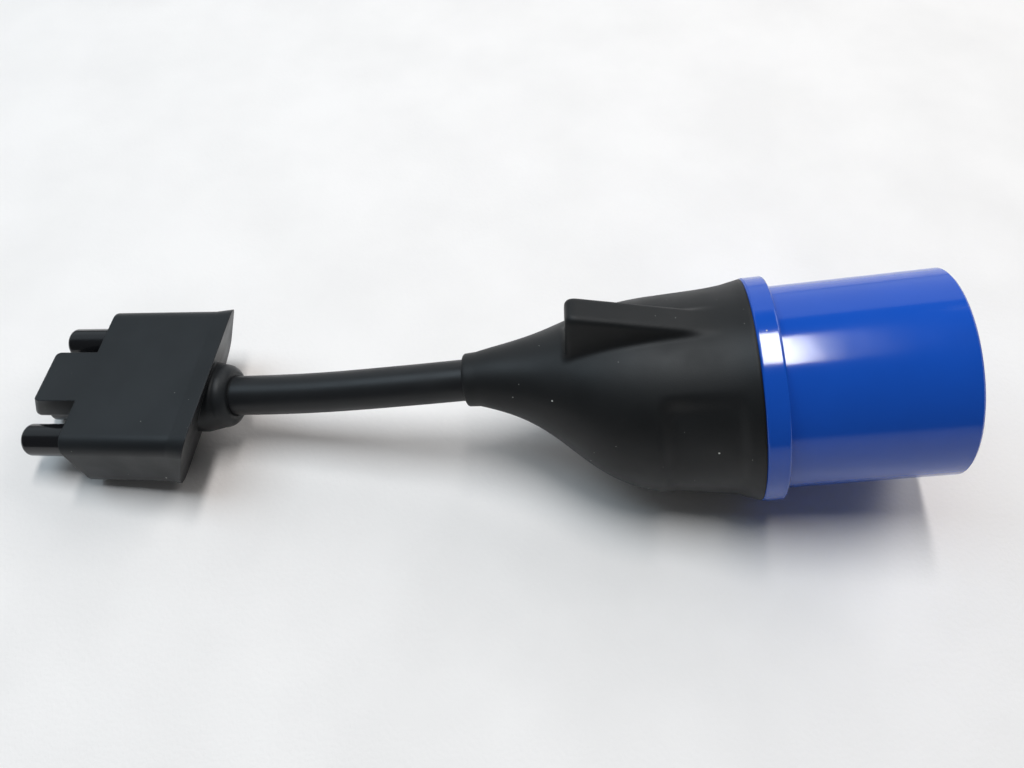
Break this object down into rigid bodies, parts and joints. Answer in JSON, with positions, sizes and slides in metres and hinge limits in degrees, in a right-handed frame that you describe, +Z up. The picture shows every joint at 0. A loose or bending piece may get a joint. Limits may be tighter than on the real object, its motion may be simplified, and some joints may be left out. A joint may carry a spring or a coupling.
{
  "type": "short power adapter lead",
  "caption": "Short stiff adapter lead from a flat head with round contact towers to a blue industrial plug with a finned black grip.",
  "frame": {"origin": "on the resting plane, under the middle of the lead's bounding box", "axes": "+X along the lead, from the adapter head toward the plug's mouth; +Z up as it lies at rest; +Y across it"},
  "size_m": [0.3036, 0.0758, 0.0767],
  "materials": {
    "blue_plastic": "glossy moulded nylon, blue for 230 V",
    "grip_black": "matte black moulded rubber",
    "head_black": "matte black moulded rubber",
    "sheath_black": "matte black rubber sheath",
    "tower_black": "glossy black plastic",
    "carrier_grey": "grey filled plastic",
    "inner_cover_black": "stiff black plastic",
    "plated_brass": "nickel plated brass, turned",
    "spring_steel": "spring steel",
    "copper": "stranded copper drawn as one rod",
    "core_brown": "brown insulation",
    "core_blue": "blue insulation",
    "core_green": "green and yellow insulation",
    "wire_white": "thin white insulation",
    "board_green": "circuit board",
    "chip_black": "moulded chip",
    "sensor_body": "resin bead"
  },
  "bodies": {
    "root": {"plug_shroud": "blue_plastic", "pin_carrier": "carrier_grey", "plug_body": "grip_black", "plug_inner_cover": "inner_cover_black", "line_pin": "plated_brass", "neutral_pin": "plated_brass", "earth_pin": "plated_brass", "temperature_sensor": "sensor_body", "cable_sheath": "sheath_black", "line_conductor": "copper", "neutral_conductor": "copper", "earth_conductor": "copper", "line_insulation": "core_brown", "neutral_insulation": "core_blue", "earth_insulation": "core_green", "sensor_wires": "wire_white", "head_shell": "head_black", "contact_carrier": "inner_cover_black", "line_tower": "tower_black", "neutral_tower": "tower_black", "earth_tower": "tower_black", "head_inner_cover": "inner_cover_black", "line_socket": "plated_brass", "neutral_socket": "plated_brass", "earth_socket": "plated_brass", "socket_springs": "spring_steel", "signal_contacts": "plated_brass", "id_board": "board_green", "id_chip": "chip_black", "id_resistor": "chip_black"}
  },
  "joints": []
}
